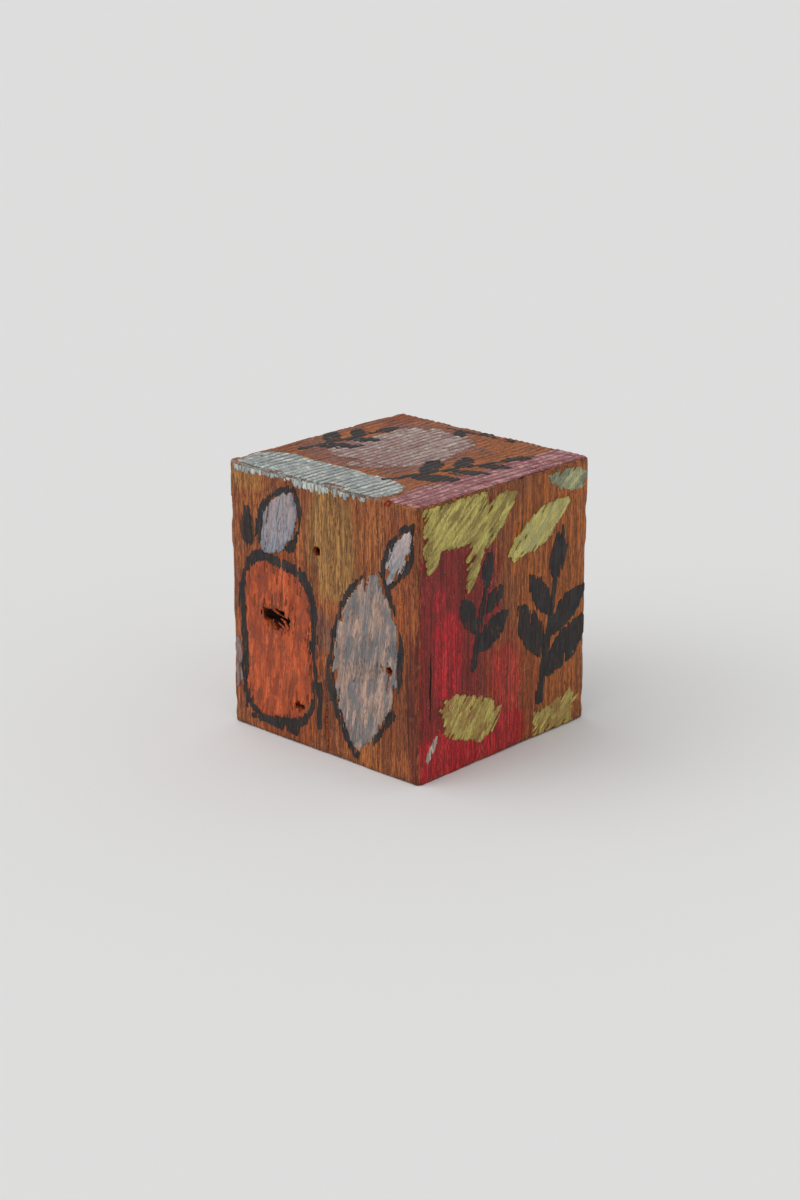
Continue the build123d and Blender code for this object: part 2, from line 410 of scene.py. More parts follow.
# Fibres torn loose across the knot: where each starts and ends, as shares of the knot's width
# and height, how far it hangs in, and how thick it starts, in mm.
fibres = [
    ((-0.05, 0.90), (0.62, 0.70), 0.5, 0.9), ((0.06, 0.99), (0.95, 0.55), 1.0, 0.6),
    ((0.98, 0.10), (0.62, 0.52), 0.7, 2.0), ((0.84, -0.03), (0.50, 0.34), 0.9, 1.5),
    ((0.42, -0.05), (0.30, 0.36), 1.1, 1.3),
]


def lay_fibres(material):
    """Torn orange fibres in the mouth of the knot, the front's widest hollow."""
    face = faces["front"]
    knot = max(hollows(face), key=lambda points: np.ptp(points[:, 0]))[:, :2]
    corner, span = knot.min(axis=0), np.ptp(knot, axis=0)
    angles = np.linspace(0, tau, 8, endpoint=False)
    for k, (start, end, sag, thick) in enumerate(fibres):
        start, end = corner + span * start, corner + span * end
        side = np.array([start[1] - end[1], end[0] - start[0]]) / np.hypot(*(end - start))
        rings = []
        for share in np.linspace(0, 1, 12):
            bend = 0.5 * sin(5 * share + k)
            middle = start + (end - start) * share + side * bend
            radius = thick / 2 * (1 - 0.75 * share)
            u = middle[0] + radius * np.cos(angles) * side[0]
            v = middle[1] + radius * np.cos(angles) * side[1]
            rings.append(face.place(u, v, -0.25 - sag * share**1.5 + 0.6 * radius * np.sin(angles)))
        fibre = stacked_rings(f"knot_fibre_{k}", rings)
        fibre.data.materials.append(material)
        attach(fibre, "root")


def cut(block, cutters):
    """Takes the cutters out of the block, each in turn, and removes them."""
    for cutter in cutters:
        for material in block.data.materials:
            cutter.data.materials.append(material)
        inside = [len(faces)] * len(cutter.data.polygons)
        cutter.data.polygons.foreach_set("material_index", inside)
        modifier = block.modifiers.new("cut", "BOOLEAN")
        modifier.operation = "DIFFERENCE"
        modifier.solver = "EXACT"
        modifier.object = cutter
        graph = bpy.context.evaluated_depsgraph_get()
        result = bpy.data.meshes.new_from_object(block.evaluated_get(graph))
        block.modifiers.clear()
        block.data = result
        bpy.data.objects.remove(cutter)


# -------------------- fields that paint follows
def coat_field(face, node):
    """Signed distance to a raised coat's edges and to its outer outline, read from its solid."""
    u, v, rise = face.split(points_of(node))
    seen = {}
    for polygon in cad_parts[node].data.polygons:
        ids = list(polygon.vertices)
        if min(rise[k] for k in ids) < rise.max() - 1e-3:
            continue
        keys = [(round(float(u[k]), 3), round(float(v[k]), 3)) for k in ids]
        for a, b in zip(keys, keys[1:] + keys[:1]):
            pair = tuple(sorted((a, b)))
            seen[pair] = seen.get(pair, 0) + 1
    edges = [pair for pair, uses in seen.items() if uses == 1]
    reach = (u.min(), u.max(), v.min(), v.max())
    return edge_field(edges), edge_field(outer_loop(edges)), reach, float(rise.max())


def outer_loop(edges):
    """The loop of edges that goes round all the others."""
    beside = {}
    for a, b in edges:
        beside.setdefault(a, []).append(b)
        beside.setdefault(b, []).append(a)
    start = min(beside)
    found, waiting = {start}, [start]
    while waiting:
        for point in beside[waiting.pop()]:
            if point not in found:
                found.add(point)
                waiting.append(point)
    return [pair for pair in edges if pair[0] in found]


def edge_field(edges):
    """Signed distance to closed loops of straight edges."""

    def field(pu, pv):
        nearest, inside = np.full(pu.shape, 1e9), np.zeros(pu.shape, bool)
        for (au, av), (bu, bv) in edges:
            du, dv = bu - au, bv - av
            share = np.clip(((pu - au) * du + (pv - av) * dv) / (du * du + dv * dv), 0, 1)
            nearest = np.minimum(nearest, np.hypot(pu - au - share * du, pv - av - share * dv))
            if dv:
                crosses = (av > pv) != (bv > pv)
                inside ^= crosses & (pu < au + (pv - av) * du / dv)
        return np.where(inside, -nearest, nearest)

    return field


def bar_field(start, end, stroke):
    """Distance to a straight dab of the brush that thins towards its end."""
    (au, av), (bu, bv) = start, end

    def field(u, v):
        du, dv = bu - au, bv - av
        share = np.clip(((u - au) * du + (v - av) * dv) / (du * du + dv * dv), 0, 1)
        return np.hypot(u - au - share * du, v - av - share * dv) - stroke / 2 * (1 - 0.4 * share)

    us, vs = sorted((au, bu)), sorted((av, bv))
    return field, (us[0] - stroke, us[1] + stroke, vs[0] - stroke, vs[1] + stroke)


def outline_field(inner, offset, stroke, seed):
    """A hand-drawn line round a shape, which breaks off here and there."""

    def field(u, v):
        distance = np.abs(inner(u, v) - offset - 0.7 * (noise(u / 9, v / 9, seed) - 0.5))
        pressure = 0.35 + 1.1 * noise(u / 11, v / 11, seed + 1)
        lifted = smooth(noise(u / 13, v / 13, seed + 2), 0.76, 0.9)
        return distance - stroke / 2 * pressure * (1 - lifted) + 0.6 * lifted

    return field


# -------------------- films of paint
laid = {name: [] for name in faces}


def surface_rise(face, u, v):
    """The height of the wood and of the coats already on it."""
    rise = np.zeros(np.shape(u))
    for field, thick in laid[face.name]:
        rise = np.maximum(rise, thick * smooth(-field(u, v), -0.3, 0.6))
    return face.relief(u, v) + rise


def brushed(face, turn, u, v):
    """Places along and across brush strokes that lean this many degrees to the right."""
    if face.is_end:
        u, v = -v, u
    c, s = cos(radians(turn)), sin(radians(turn))
    return v * c + u * s, u * c - v * s


def ragged(face, field, amount, seed, turn=0.0):
    """The field with an edge broken up by the bristles, and gaps where the brush ran dry."""

    def rough(u, v):
        along, across = brushed(face, turn, u, v)
        fine = (across / 0.9, along / 3.6) if face.is_end else (across / 0.55, along / 3.2)
        edge = noise(*fine, seed) - 0.5 + 0.6 * (noise(u / 1.7, v / 4.5, seed + 1) - 0.5)
        distance = field(u, v) + amount * 1.5 * edge
        dry = smooth(noise(fine[0] * 1.1, fine[1] * 0.6, seed + 2), 0.74, 0.9)
        thin = smooth(noise(u / 8, v / 12, seed + 3), 0.42, 0.72)
        near_edge = smooth(field(u, v), -7.0, -1.0)
        return distance + amount * dry * (4.5 * thin + 2.5 * near_edge)

    return rough


def painted_cells(value):
    """The cells of a grid that a film covers: those whose middle is below zero."""
    keep = (value[:-1, :-1] + value[1:, :-1] + value[:-1, 1:] + value[1:, 1:]) / 4 < 0
    # A cell that has under two neighbours is a stray speck.
    for _ in range(2):
        padded = np.pad(keep, 1).astype(int)
        beside = padded[2:, 1:-1] + padded[:-2, 1:-1] + padded[1:-1, 2:] + padded[1:-1, :-2]
        keep &= beside >= 2
    # Two cells that touch only at a corner would pinch the film.
    a, b, c, d = keep[:-1, :-1], keep[1:, 1:], keep[1:, :-1], keep[:-1, 1:]
    a &= ~(a & b & ~c & ~d)
    c &= ~(c & d & ~a & ~b)
    return keep


def film(name, face, field, reach, thick, material, seed, turn=0.0, step=film_step):
    """A closed film of paint that lies on what is under it, where the field is below zero."""
    edge_u, edge_v = 0.7 if face.is_end else corner_radius - 0.4, 0.6  # no paint this near an edge
    us = np.arange(max(reach[0] - 2, edge_u), min(reach[1] + 2, face.size[0] - edge_u), step)
    vs = np.arange(max(reach[2] - 2, edge_v), min(reach[3] + 2, face.size[1] - edge_v), step)
    u, v = np.meshgrid(us, vs, indexing="ij")
    value = field(u, v)
    keep = painted_cells(value)
    if not keep.any():
        raise ValueError(f"{name} has nothing to lay")
    # The outline's points slide onto the field's zero line.
    slope_u, slope_v = np.gradient(value, step)
    steep = np.maximum(slope_u**2 + slope_v**2, 0.2)
    used = np.zeros(u.shape, int)
    for i, j in ((0, 0), (1, 0), (0, 1), (1, 1)):
        used[i : i + keep.shape[0], j : j + keep.shape[1]] += keep
    border = (used > 0) & (used < 4)
    limit = 0.42 * step
    u = u - np.where(border, np.clip(value * slope_u / steep, -limit, limit), 0)
    v = v - np.where(border, np.clip(value * slope_v / steep, -limit, limit), 0)
    along, across = brushed(face, turn, u, v)
    bristle = noise(across / 0.6, along / 9, seed + 5)
    stroke = noise(across / 3.0, along / 15, seed + 6)
    bead = smooth(-value, 0.1, 0.6) * (1 - smooth(-value, 0.7, 1.6))
    body = thick * (0.3 + 0.5 * smooth(-value, 0.0, 0.9) + 0.25 * bead)
    body *= 0.4 + 0.6 * bristle + 0.65 * stroke
    base = surface_rise(face, u, v)
    top = face.place(u, v, base + body + 0.03)
    under = face.place(u, v, base - 0.12)
    count = int((used > 0).sum())
    index = np.zeros(u.shape, int)
    index[used > 0] = np.arange(count)
    verts = np.concatenate([top[used > 0], under[used > 0]])
    i, j = np.nonzero(keep)
    quads = np.stack([index[i, j], index[i + 1, j], index[i + 1, j + 1], index[i, j + 1]], -1)
    polygons = np.concatenate([quads, quads[:, ::-1] + count]).tolist()
    sides = np.concatenate([quads[:, [k, (k + 1) % 4]] for k in range(4)])
    directed = {tuple(pair) for pair in sides.tolist()}
    for a, b in sides.tolist():
        if (b, a) not in directed:
            polygons.append([b, a, a + count, b + count])
    made = new_object(name, verts, polygons, [material])
    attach(made, "root")
    return made


# -------------------- shading
class Shader:
    """A material's nodes. Places are in millimetres, in the block's own frame."""

    def __init__(self, name, axis=(0, 0, 1), turn=0.0):
        self.material = bpy.data.materials.new(name)
        self.material.use_nodes = True
        self.tree = self.material.node_tree
        self.bsdf = self.tree.nodes["Principled BSDF"]
        place = self.node("TexCoord").outputs["Object"]
        scaled = self.node("VectorMath")
        scaled.operation = "SCALE"
        scaled.inputs["Scale"].default_value = 1 / MM
        self.link(place, scaled.inputs[0])
        self.place = scaled.outputs[0]
        parts = self.node("SeparateXYZ")
        self.link(self.place, parts.inputs[0])
        self.x, self.y, self.z = parts.outputs
        turned = self.node("VectorRotate")
        turned.rotation_type = "AXIS_ANGLE"
        turned.inputs["Axis"].default_value = [float(a) for a in axis]
        turned.inputs["Angle"].default_value = radians(turn)
        self.link(self.place, turned.inputs["Vector"])
        self.stroked = turned.outputs[0]  # the same places, turned the way the brush went

    def node(self, kind):
        return self.tree.nodes.new("ShaderNode" + kind)

    def link(self, value, socket):
        """Plugs in a socket, or sets a plain number or colour."""
        if isinstance(value, bpy.types.NodeSocket):
            self.tree.links.new(value, socket)
        elif hasattr(value, "__len__") and len(value) == 3 and socket.type == "RGBA":
            socket.default_value = (*value, 1.0)
        else:
            socket.default_value = value

    def math(self, operation, *values, clamp=False):
        node = self.node("Math")
        node.operation = operation
        node.use_clamp = clamp
        for value, socket in zip(values, node.inputs):
            self.link(value, socket)
        return node.outputs[0]

    def step(self, value, start, end):
        """0 to 1, smoothly, as the value goes from start to end, which may be the lower."""
        node = self.node("MapRange")
        node.interpolation_type = "SMOOTHSTEP"
        for given, socket in zip((value, start, end), node.inputs):
            self.link(given, socket)
        return node.outputs[0]

    def mix(self, share, first, second, blend="MIX"):
        node = self.node("Mix")
        node.data_type = "RGBA"
        node.blend_type = blend
        self.link(share, node.inputs["Factor"])
        self.link(first, node.inputs["A"])
        self.link(second, node.inputs["B"])
        return node.outputs["Result"]

    def times(self, first, second):
        return self.math("MULTIPLY", first, second)

    def scaled(self, value, by, plus):
        return self.math("MULTIPLY_ADD", value, by, plus)

    def total(self, *terms, plus=0.0):
        """The sum of some values, each times its weight, and of a plain number."""
        for value, weight in terms:
            plus = self.scaled(value, weight, plus)
        return plus

    def over(self, colour, tint, mask, share):
        """A tint laid over a colour, where the mask is, and this much of it at most."""
        return self.mix(self.times(mask, share), colour, tint)

    def noise(self, lumps, detail=3.0, shift=0.0, rough=0.55, place=None):
        """Noise whose lumps are this many millimetres long on each axis."""
        mapping = self.node("Mapping")
        mapping.inputs["Scale"].default_value = [1 / lump for lump in lumps]
        mapping.inputs["Location"].default_value = (shift, shift * 1.7, shift * 0.6)
        self.link(self.place if place is None else place, mapping.inputs["Vector"])
        node = self.node("TexNoise")
        node.inputs["Scale"].default_value = 1.0
        node.inputs["Detail"].default_value = detail
        node.inputs["Roughness"].default_value = rough
        self.link(mapping.outputs[0], node.inputs["Vector"])
        return node.outputs["Fac"]

    def grooves(self):
        """0 on the end grain's ridges, 1 in the grooves between them."""
        place = self.x
        for tall, along_x, along_y, start in ridge_waves:
            angle = self.scaled(self.x, along_x, start)
            angle = self.scaled(self.y, along_y, angle)
            place = self.scaled(self.math("SINE", angle), tall, place)
        turn = self.times(place, tau / ring_pitch)
        return self.scaled(self.math("COSINE", turn), -0.5, 0.5)

    def finish(self, colour, rough, bump, bump_mm):
        self.bsdf.inputs["Specular IOR Level"].default_value = 0.3
        self.link(colour, self.bsdf.inputs["Base Color"])
        self.link(rough, self.bsdf.inputs["Roughness"])
        node = self.node("Bump")
        node.inputs["Strength"].default_value = 0.9
        node.inputs["Distance"].default_value = bump_mm * MM
        self.link(bump, node.inputs["Height"])
        self.link(node.outputs[0], self.bsdf.inputs["Normal"])
        return self.material


# Washes with no thickness, on each face: colour, centre, size, softness of the edge in mm,
# and how much of the wood they hide.
ochre, deep_red, stain_red = (0.54, 0.27, 0.075), (0.18, 0.012, 0.014), (0.44, 0.075, 0.016)
crimson, bright_red, soot = (0.38, 0.020, 0.024), (0.80, 0.024, 0.036), (0.022, 0.018, 0.016)
rose, tawny = (0.30, 0.15, 0.145), (0.60, 0.165, 0.028)
pale_blue, slate = (0.42, 0.49, 0.49), (0.10, 0.10, 0.105)
washes = {
    "front": [
        (ochre, (49, 76), (22, 42), 7.0, 0.9), (stain_red, (24, 34), (44, 72), 6.0, 0.6),
        (stain_red, (80, 48), (14, 90), 5.0, 0.45), (soot, (9, 73), (8, 12), 2.0, 0.8),
        (slate, (43, 44), (15, 15), 16.0, 0.5), (deep_red, (88, 24), (8, 60), 3.0, 0.7),
        (ochre, (8, 91), (16, 7), 5.0, 0.6), (soot, (46, 17), (7, 24), 6.0, 0.45),
        (soot, (80, 30), (10, 40), 9.0, 0.4), (pale_blue, (36, 95.8), (64, 1.8), 0.8, 1.0),
    ],
    "right": [
        (crimson, (18, 44), (48, 96), 4.0, 0.95), (tawny, (68, 54), (44, 92), 5.0, 0.95),
        (stain_red, (46, 26), (34, 50), 9.0, 0.6), (bright_red, (25, 7), (58, 19), 3.5, 1.0),
        (bright_red, (14, 42), (13, 32), 4.0, 0.95), (bright_red, (44, 24), (16, 34), 6.0, 0.6),
        (bright_red, (10, 63), (6, 8), 3.0, 0.8),
    ],
    "back": [
        (tawny, (54, 64), (62, 60), 9.0, 0.8), (crimson, (14, 46), (36, 60), 7.0, 0.85),
        (ochre, (76, 84), (26, 24), 8.0, 0.8), (crimson, (44, 5), (92, 16), 3.0, 0.9),
        (bright_red, (20, 34), (26, 12), 5.0, 0.7),
    ],
    "left": [
        (tawny, (30, 50), (56, 70), 9.0, 0.8), (ochre, (66, 76), (30, 40), 8.0, 0.7),
        (crimson, (36, 6), (76, 18), 4.0, 0.85), (stain_red, (8, 60), (18, 70), 6.0, 0.8),
        (bright_red, (16, 8), (26, 10), 4.0, 0.8),
    ],
    "top": [
        (tawny, (45, 44), (92, 92), 6.0, 0.45), (rose, (30, 52), (58, 62), 6.0, 0.65),
        (tawny, (53, 76), (30, 11), 2.0, 0.9), (tawny, (64, 44), (11, 26), 2.0, 0.9),
        (tawny, (10, 57), (13, 27), 2.0, 0.9), (stain_red, (6, 80), (14, 16), 4.0, 0.6),
        (pale_blue, (36, 0.2), (64, 2.2), 0.8, 1.0), (crimson, (88.6, 44), (2.0, 84), 0.8, 0.8),
    ],
    "bottom": [(soot, (44, 44), (60, 60), 20.0, 0.12)],
}


def face_uv(shader, face):
    """u and v on a face, as sockets."""
    places = []
    for axis in (face.right, face.up):
        k = int(np.abs(axis).argmax())
        sign, place = float(axis[k]), (shader.x, shader.y, shader.z)[k]
        places.append(shader.scaled(place, sign, -sign * float(face.corner[k])))
    return places


def wash_mask(shader, u, v, centre, size, soft, wander):
    """How much of a boxy wash is here, with an edge that the grain breaks up."""
    parts = []
    for place, middle, span in ((u, centre[0], size[0]), (v, centre[1], size[1])):
        share = shader.scaled(place, 2 / span, -2 * middle / span)
        parts.append(shader.math("POWER", shader.math("ABSOLUTE", share), 3.0))
    reach = shader.math("POWER", shader.math("ADD", *parts), 1 / 3)
    reach = shader.math("ADD", reach, wander)
    spread = soft / (min(size) / 2)
    return shader.step(reach, 1 + spread / 2, 1 - spread / 2)


def dimmed(tint, share):
    return tuple(share * c for c in tint)


def wood_material(face):
    """Stained softwood under its washes, worn bare at its edges, with painted shade in the end grain's
    grooves.
    """
    shader = Shader(f"wood_{face.name}")
    if face.is_end:
        streak = shader.noise((0.8, 9, 30), 5.0, rough=0.65)
        fine = shader.noise((0.26, 1.5, 9), 3.0, 5.0, 0.7)
        fibre = shader.noise((0.34, 2.2, 6), 2.0, 14.0)
        # On the sawn ends the line is the grooves between the ridges, which are darkened below as
        # painted shade.
        line = shader.math("POWER", shader.grooves(), 1.8)
    else:
        streak = shader.noise((0.85, 0.85, 26), 6.0, rough=0.7)
        fine = shader.noise((0.3, 0.3, 2.8), 4.0, 5.0, 0.75)
        fibre = shader.noise((0.36, 0.36, 5), 3.0, 14.0)
        line = shader.step(shader.noise((1.3, 1.3, 50), 4.0, 11.0, 0.6), 0.5, 0.6)
    broad = shader.noise((13, 13, 22), 4.0, 3.0, 0.6)
    grit = shader.total((streak, 0.4), (fine, 0.6))
    base = shader.mix(shader.step(grit, 0.44, 0.56), (0.11, 0.026, 0.008), (0.56, 0.185, 0.044))
    base = shader.mix(shader.step(broad, 0.36, 0.66), base, shader.mix(0.55, base, (0.27, 0.06, 0.016)))
    # Darker along the line: grain lines on the sides, painted shade in the grooves on the ends.
    base = shader.over(base, (0.12, 0.03, 0.012), line, 0.6)
    colour = base
    u, v = face_uv(shader, face)
    wander = shader.total((streak, 1.1), (fine, 0.7), (broad, 1.0), plus=-1.4)
    worn_through = shader.step(grit, 0.36, 0.54)
    for tint, centre, size, soft, hide in washes[face.name]:
        mask = wash_mask(shader, u, v, centre, size, 0.4 * soft, wander)
        mask = shader.times(mask, shader.scaled(worn_through, 0.5, 0.5))
        dark = dimmed(tint, 0.3)
        shaded = shader.mix(shader.step(grit, 0.56, 0.44), tint, dark)
        # Darker along the line under the washes too: grain on the sides, painted shade in the grooves
        # on the ends.
        shaded = shader.over(shaded, dark, line, 0.55)
        colour = shader.over(colour, shaded, mask, hide)
    gaps = []
    for place, span in ((u, face.size[0]), (v, face.size[1])):
        gaps.append(shader.math("MINIMUM", place, shader.math("SUBTRACT", span, place)))
    gap = shader.math("MINIMUM", *gaps)
    near = shader.step(gap, 2.2, 0.1)
    worn = shader.times(near, shader.step(shader.noise((1.5, 1.5, 4), 5.0, 8.0), 0.5, 0.64))
    colour = shader.over(colour, (0.40, 0.15, 0.048), worn, 0.6)
    dirty = shader.times(near, shader.step(shader.noise((2.4, 2.4, 6), 4.0, 18.0), 0.46, 0.6))
    colour = shader.over(colour, (0.075, 0.03, 0.018), dirty, 0.65)
    pores = shader.step(fibre, 0.57, 0.65)
    colour = shader.over(colour, (0.05, 0.018, 0.01), pores, 0.6)
    grime = shader.step(shader.noise((0.8, 0.8, 1.7), 4.0, 20.0), 0.61, 0.7)
    colour = shader.over(colour, (0.035, 0.018, 0.013), grime, 0.6)
    rub = shader.times(shader.step(fine, 0.56, 0.68), shader.step(broad, 0.46, 0.6))
    colour = shader.over(colour, (0.50, 0.34, 0.24), rub, 0.45)
    speck = shader.step(shader.noise((0.42, 0.42, 0.6), 1.0, 31.0), 0.74, 0.78)
    colour = shader.over(colour, (0.60, 0.52, 0.44), speck, 0.7)
    relief = shader.total((streak, 0.5), (fine, 0.7), (line, -0.35), (pores, -0.4))
    rough = shader.scaled(fine, 0.3, 0.42)
    return shader.finish(colour, rough, relief, 0.2)


def hollow_material():
    """Inside the holes and cracks: torn orange fibres at the front's mouths, and painted shade, near
    black, deeper in.
    """
    shader = Shader("wood_hollow")
    streak = shader.noise((0.5, 3, 0.6), 4.0, rough=0.7)
    below = shader.math("SUBTRACT", shader.y, float(low[1]))
    below = shader.math("ADD", below, shader.scaled(streak, 2.4, -1.2))
    torn = shader.mix(shader.step(streak, 0.4, 0.6), (0.11, 0.02, 0.008), (0.62, 0.11, 0.02))
    # Painted shade: near black deeper in the hollows.
    dark = shader.mix(shader.step(streak, 0.35, 0.7), (0.009, 0.005, 0.004), (0.06, 0.02, 0.011))
    colour = shader.mix(shader.step(below, 0.9, 2.8), torn, dark)
    return shader.finish(colour, 0.8, streak, 0.25)


def paint_material(name, tint, second, face, cover, under, turn=0.0):
    """Dry brushed paint: two tints dragged together, with painted highlights, flecked, with the wood
    showing through and painted shade in the end grain's grooves.
    """
    shader = Shader(name, face.outward, turn)
    stroked = shader.stroked
    if face.is_end:
        drag = shader.noise((7, 0.5, 9), 5.0, 2.0, 0.65)
        fine = shader.noise((1.6, 0.24, 3), 3.0, 6.0, 0.7)
        fleck = shader.noise((0.35, 0.8, 3), 2.0, 14.0)
        line = shader.math("POWER", shader.grooves(), 2.0)
        cloud = shader.noise((2.0, 38, 9), 4.0, 41.0, 0.6)
    else:
        drag = shader.noise((0.55, 0.55, 9), 5.0, 2.0, 0.68, stroked)
        fine = shader.noise((0.26, 0.26, 2.0), 4.0, 6.0, 0.75)
        fleck = shader.noise((0.42, 0.42, 1.9), 3.0, 14.0)
        line = shader.step(shader.noise((0.9, 0.9, 40), 3.0, 11.0), 0.54, 0.64)
        cloud = shader.noise((2.4, 2.4, 15), 5.0, 9.0, 0.62, stroked)
    pick = shader.total((drag, 0.5), (cloud, 0.5))
    colour = shader.mix(shader.step(pick, 0.46, 0.55), tint, second)
    # Painted highlights: a paler copy of the tint, laid where the drag and the sweep of the strokes run
    # high. Where the sweep runs low, the second tint goes on.
    highlight_tint = tuple(min(1.0, 1.4 * c + 0.025) for c in tint)
    colour = shader.over(colour, highlight_tint, shader.step(drag, 0.52, 0.64), 0.6)
    sweep = shader.noise((2.2, 2.2, 12), 4.0, 61.0, 0.6, stroked)
    colour = shader.over(colour, highlight_tint, shader.step(sweep, 0.52, 0.62), 0.7)
    colour = shader.over(colour, second, shader.step(sweep, 0.47, 0.36), 0.6)
    blotch = shader.noise((4, 4, 9), 4.0, 71.0, 0.62, stroked)
    colour = shader.over(colour, second, shader.step(blotch, 0.52, 0.59), 0.75)
    dim = shader.times(shader.step(fine, 0.52, 0.38), 1.75 - 1.35 * cover)
    colour = shader.mix(dim, colour, dimmed(tint, 0.4))
    thin = shader.step(shader.noise((6, 6, 9), 3.0, 23.0), 0.44, 0.62)
    bare_share = shader.scaled(thin, 0.7, 0.3)
    show = shader.times(shader.step(drag, 0.52, 0.42), bare_share)
    show = shader.math("MULTIPLY_ADD", line, 0.35, show, clamp=True)
    wood = shader.mix(shader.step(fine, 0.4, 0.6), dimmed(under, 0.4), under)
    colour = shader.over(colour, wood, show, 1.2 - 0.75 * cover)
    # In the end grain's grooves the wood shows through the paint and is darkened as painted shade, more
    # in some grooves than others.
    if face.is_end:
        depth_of_line = shader.step(shader.noise((4, 14, 9), 4.0, 51.0, 0.6), 0.34, 0.6)
        bare_and_shaded_groove = shader.times(shader.step(line, 0.3, 0.85), shader.step(fine, 0.3, 0.55))
        bare_and_shaded_groove = shader.times(bare_and_shaded_groove, shader.scaled(depth_of_line, 0.75, 0.15))
        colour = shader.mix(bare_and_shaded_groove, colour, dimmed(under, 0.7))
    fleck_share = shader.scaled(thin, 0.5, 0.3)
    flecks = shader.times(shader.step(fleck, 0.57, 0.66), fleck_share)
    colour = shader.mix(flecks, colour, (0.04, 0.024, 0.02))
    bump = shader.total((drag, 0.7), (fine, 0.6), (sweep, 0.8))
    rough = shader.scaled(drag, 0.35, 0.26)
    return shader.finish(colour, rough, bump, 0.3)


# -------------------- the paint
# The second tint that is dragged into each coat, how well the coat hides the wood, the tint
# that shows where it is thin, and how far its strokes lean to the right, in degrees.
bare, wine, dusk = (0.25, 0.075, 0.026), (0.20, 0.022, 0.024), (0.12, 0.085, 0.08)
second_tints = {
    "front_grey_leaf_paint": ((0.46, 0.36, 0.36), 0.86, dusk, 12),
    "front_orange_patch_paint": ((0.30, 0.045, 0.014), 0.72, bare, 6),
    "front_pink_leaf_paint": ((0.17, 0.19, 0.205), 0.76, dusk, 8),
    "front_pale_leaf_paint": ((0.26, 0.30, 0.34), 0.84, dusk, 25),
    "front_edge_grey_paint": ((0.20, 0.17, 0.17), 0.75, bare, 0),
    "right_yellow_dabs_paint": ((0.27, 0.18, 0.045), 0.88, bare, 48),
    "right_yellow_leaf_paint": ((0.50, 0.46, 0.19), 0.95, bare, 46),
    "right_pale_green_paint": ((0.20, 0.23, 0.17), 0.80, dusk, 60),
    "right_lower_yellow_paint": ((0.36, 0.22, 0.055), 0.80, (0.5, 0.03, 0.03), 40),
    "right_corner_yellow_paint": ((0.42, 0.22, 0.06), 0.76, bare, 50),
    "right_white_dab_paint": ((0.44, 0.34, 0.28), 0.82, wine, 0),
    "top_blue_band_paint": ((0.30, 0.36, 0.37), 0.86, dusk, 0),
    "top_lilac_field_paint": ((0.34, 0.17, 0.15), 0.72, wine, 0),
    "top_crimson_band_paint": ((0.30, 0.05, 0.075), 0.68, wine, 0),
    "back_pale_green_paint": ((0.20, 0.23, 0.17), 0.82, dusk, 50),
    "back_ochre_leaf_paint": ((0.44, 0.20, 0.05), 0.88, bare, 28),
    "back_blue_band_paint": ((0.24, 0.29, 0.31), 0.82, dusk, 84),
    "left_pink_patch_paint": ((0.22, 0.23, 0.27), 0.80, dusk, 10),
    "left_blue_leaf_paint": ((0.20, 0.25, 0.29), 0.88, dusk, 30),
    "left_yellow_leaf_paint": ((0.36, 0.28, 0.07), 0.90, bare, 30),
}

# The main tints, in linear light.
main_tints = {
    "grey_leaf": (0.25, 0.27, 0.32), "orange": (0.65, 0.105, 0.018), "pink": (0.52, 0.33, 0.25),
    "pale_leaf": (0.58, 0.47, 0.44), "edge_grey": (0.34, 0.26, 0.25), "yellow": (0.60, 0.53, 0.13),
    "pale_green": (0.50, 0.49, 0.24), "white": (0.62, 0.54, 0.46), "blue": (0.62, 0.65, 0.58),
    "lilac": (0.55, 0.48, 0.42), "crimson": (0.66, 0.355, 0.34), "ochre": (0.56, 0.35, 0.08),
}

# Black brushwork that stands alone: sprigs of solid leaves on a stem. Each has its face, its
# foot, its turn, the stem's length, how many leaves are beside it, and a leaf's length and width.
sprigs = [
    ("right", (62, 14), 80, 42, 4, 30, 12.5), ("right", (27, 35), 78, 27, 3, 20, 9.0),
    ("top", (57, 18), 72, 46, 5, 20, 8.5), ("top", (9, 27), 84, 34, 4, 17, 7.5),
    ("top", (28, 82), 4, 24, 2, 10, 4.5),
    ("back", (66, 36), 66, 34, 5, 18, 7.0), ("left", (66, 44), 66, 26, 4, 16, 6.5),
    ("left", (22, 20), 66, 22, 4, 14, 6.0),
]
leaf_spread = 44  # degrees between the stem and a leaf
# Straight dabs on the front: from where, to where, and how wide they start.
front_dabs = [
    ((6.6, 27), (7.0, 7.5), 3.0), ((43.4, 24), (42.8, 9), 3.4), ((9.0, 70), (8.6, 80), 5.0),
    ((31, 4.2), (10, 4.8), 3.2),
]
# The coats that have a black line round them, and how wide it is.
lined = {
    "front_grey_leaf_paint": 3.4, "front_orange_patch_paint": 3.4, "front_pink_leaf_paint": 3.2,
    "front_pale_leaf_paint": 2.0, "back_ochre_leaf_paint": 3.0, "left_blue_leaf_paint": 2.4,
}
# Blue paint that ran over the top's front edge: where it starts and ends, and how far down.
lips = [(5, 19, 2.2), (21, 30, 1.5), (33, 52, 2.6), (54, 66, 1.7)]


def tint_of(node):
    """The main tint for a coat, from the words in its name."""
    return next(tint for word, tint in main_tints.items() if word in node)


def leaf_field(centre, length, across, turn):
    """Distance to a pointed leaf made of two arcs."""
    half, rise = length / 2, across / 2
    radius = (half * half + rise * rise) / (2 * rise)
    c, s = cos(radians(turn)), sin(radians(turn))

    def field(u, v):
        x = (u - centre[0]) * c + (v - centre[1]) * s
        y = (v - centre[1]) * c - (u - centre[0]) * s
        return np.hypot(x, np.abs(y) + radius - rise) - radius

    return field, grown((centre[0], centre[0], centre[1], centre[1]), half)


